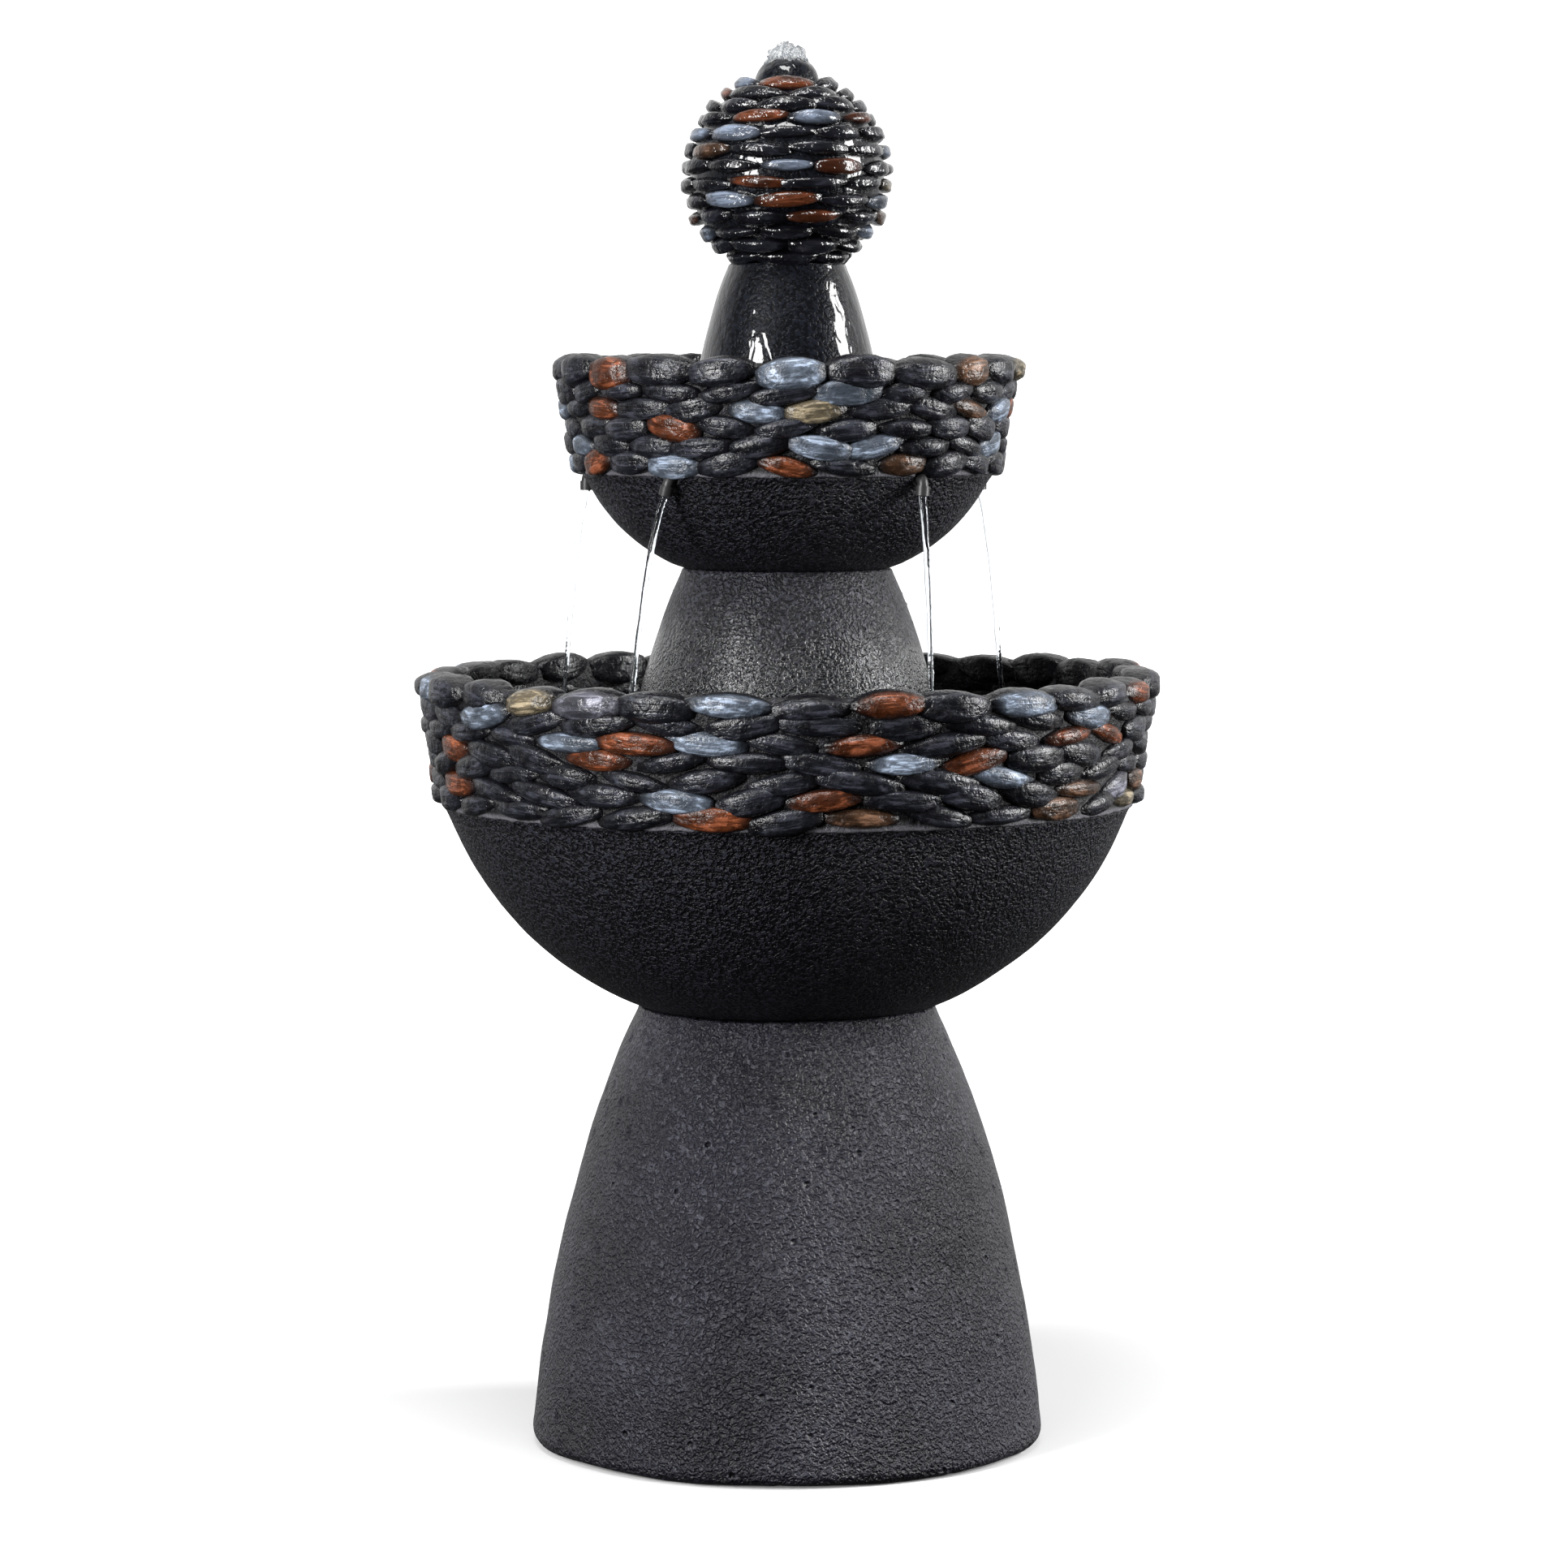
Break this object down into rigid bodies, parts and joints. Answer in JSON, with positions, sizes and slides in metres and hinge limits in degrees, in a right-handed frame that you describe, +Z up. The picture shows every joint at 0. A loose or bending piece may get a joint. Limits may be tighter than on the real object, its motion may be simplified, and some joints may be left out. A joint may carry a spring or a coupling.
{
  "type": "water fountain",
  "caption": "Free-standing tiered fountain: bell pedestals, two round bowls with pebble bands, a pebble ball on top, elbow nozzles and a pump with its hose inside.",
  "frame": {"origin": "centre of the base pedestal's foot, on the floor", "axes": "+Z up along the axis of the tiers and the hose; front towards -Y; the cable notch in the foot faces +Y"},
  "size_m": [0.5574, 0.5572, 1.04],
  "materials": {
    "cast_stone": "matte",
    "wet_stone": "gloss",
    "dry_pebbles": "satin",
    "wet_pebbles": "gloss",
    "nozzle_plastic": "satin",
    "black_rubber": "matte",
    "pump_plastic": "satin",
    "impeller_plastic": "satin",
    "dial_plastic": "satin",
    "shaft_ceramic": "polished",
    "filter_foam": "matte",
    "clear_vinyl": "gloss",
    "clamp_steel": "satin",
    "water": "polished"
  },
  "bodies": {
    "base": {"base_pedestal": "cast_stone"},
    "lower_tier": {"lower_bowl": "cast_stone", "lower_pebble_band": "dry_pebbles", "cable_grommet": "black_rubber", "pump_housing": "pump_plastic", "volute_cover": "pump_plastic", "impeller_shaft": "shaft_ceramic", "suction_cups": "black_rubber", "cable_gland": "black_rubber", "outlet_barb": "pump_plastic", "delivery_hose": "clear_vinyl", "hose_clamp": "clamp_steel"},
    "pump_impeller": {"impeller": "impeller_plastic"},
    "pump_cover": {"pump_strainer": "pump_plastic", "foam_filter": "filter_foam"},
    "pump_dial": {"flow_dial": "dial_plastic"},
    "middle_pedestal": {"mid_pedestal": "cast_stone"},
    "upper_tier": {"upper_bowl": "cast_stone", "upper_pebble_band": "dry_pebbles", "hose_grommet": "black_rubber", "nozzle_grommets": "black_rubber"},
    "neck_piece": {"neck": "wet_stone"},
    "ball": {"ball_shell": "wet_stone", "ball_pebble_rings": "wet_pebbles", "spout_dome": "wet_stone"},
    "nozzle_elbow_1": {"nozzle_1": "nozzle_plastic", "nozzle_sleeve_1": "nozzle_plastic"},
    "nozzle_elbow_2": {"nozzle_2": "nozzle_plastic", "nozzle_sleeve_2": "nozzle_plastic"},
    "nozzle_elbow_3": {"nozzle_3": "nozzle_plastic", "nozzle_sleeve_3": "nozzle_plastic"},
    "nozzle_elbow_4": {"nozzle_4": "nozzle_plastic", "nozzle_sleeve_4": "nozzle_plastic"},
    "nozzle_elbow_5": {"nozzle_5": "nozzle_plastic", "nozzle_sleeve_5": "nozzle_plastic"}
  },
  "joints": [
    {"name": "lower_bowl_lift", "type": "slide", "parent": "base", "child": "lower_tier", "axis": [0, 0, 1], "range_m": [0, 0.15]},
    {"name": "middle_pedestal_lift", "type": "slide", "parent": "lower_tier", "child": "middle_pedestal", "axis": [0, 0, 1], "range_m": [0, 0.15]},
    {"name": "upper_bowl_lift", "type": "slide", "parent": "middle_pedestal", "child": "upper_tier", "axis": [0, 0, 1], "range_m": [0, 0.15]},
    {"name": "neck_lift", "type": "slide", "parent": "upper_tier", "child": "neck_piece", "axis": [0, 0, 1], "range_m": [0, 0.15]},
    {"name": "ball_lift", "type": "slide", "parent": "neck_piece", "child": "ball", "axis": [0, 0, 1], "range_m": [0, 0.15]},
    {"name": "impeller_spin", "type": "hinge", "parent": "lower_tier", "child": "pump_impeller", "pos_m": [0, 0, 0.379], "axis": [0, 1, 0], "continuous": true},
    {"name": "pump_cover_slide", "type": "slide", "parent": "lower_tier", "child": "pump_cover", "axis": [0, -1, 0], "range_m": [0, 0.04]},
    {"name": "flow_dial_turn", "type": "hinge", "parent": "pump_cover", "child": "pump_dial", "pos_m": [0, -0.036, 0.379], "axis": [0, -1, 0], "range_deg": [0, 90]},
    {"name": "nozzle_swivel_1", "type": "hinge", "parent": "upper_tier", "child": "nozzle_elbow_1", "pos_m": [-0.08306, -0.1279, 0.73], "axis": [-0.5446, -0.8387, 0], "range_deg": [-29, 61]},
    {"name": "nozzle_swivel_2", "type": "hinge", "parent": "upper_tier", "child": "nozzle_elbow_2", "pos_m": [0.09597, -0.11851, 0.73], "axis": [0.6293, -0.7771, 0], "range_deg": [-40, 50]},
    {"name": "nozzle_swivel_3", "type": "hinge", "parent": "upper_tier", "child": "nozzle_elbow_3", "pos_m": [0.14237, 0.05465, 0.73], "axis": [0.9336, 0.3584, 0], "range_deg": [-45, 45]},
    {"name": "nozzle_swivel_4", "type": "hinge", "parent": "upper_tier", "child": "nozzle_elbow_4", "pos_m": [-0.00798, 0.15229, 0.73], "axis": [-0.0523, 0.9986, 0], "range_deg": [-45, 45]},
    {"name": "nozzle_swivel_5", "type": "hinge", "parent": "upper_tier", "child": "nozzle_elbow_5", "pos_m": [-0.1473, 0.03947, 0.73], "axis": [-0.9659, 0.2588, 0], "range_deg": [-45, 45]}
  ]
}
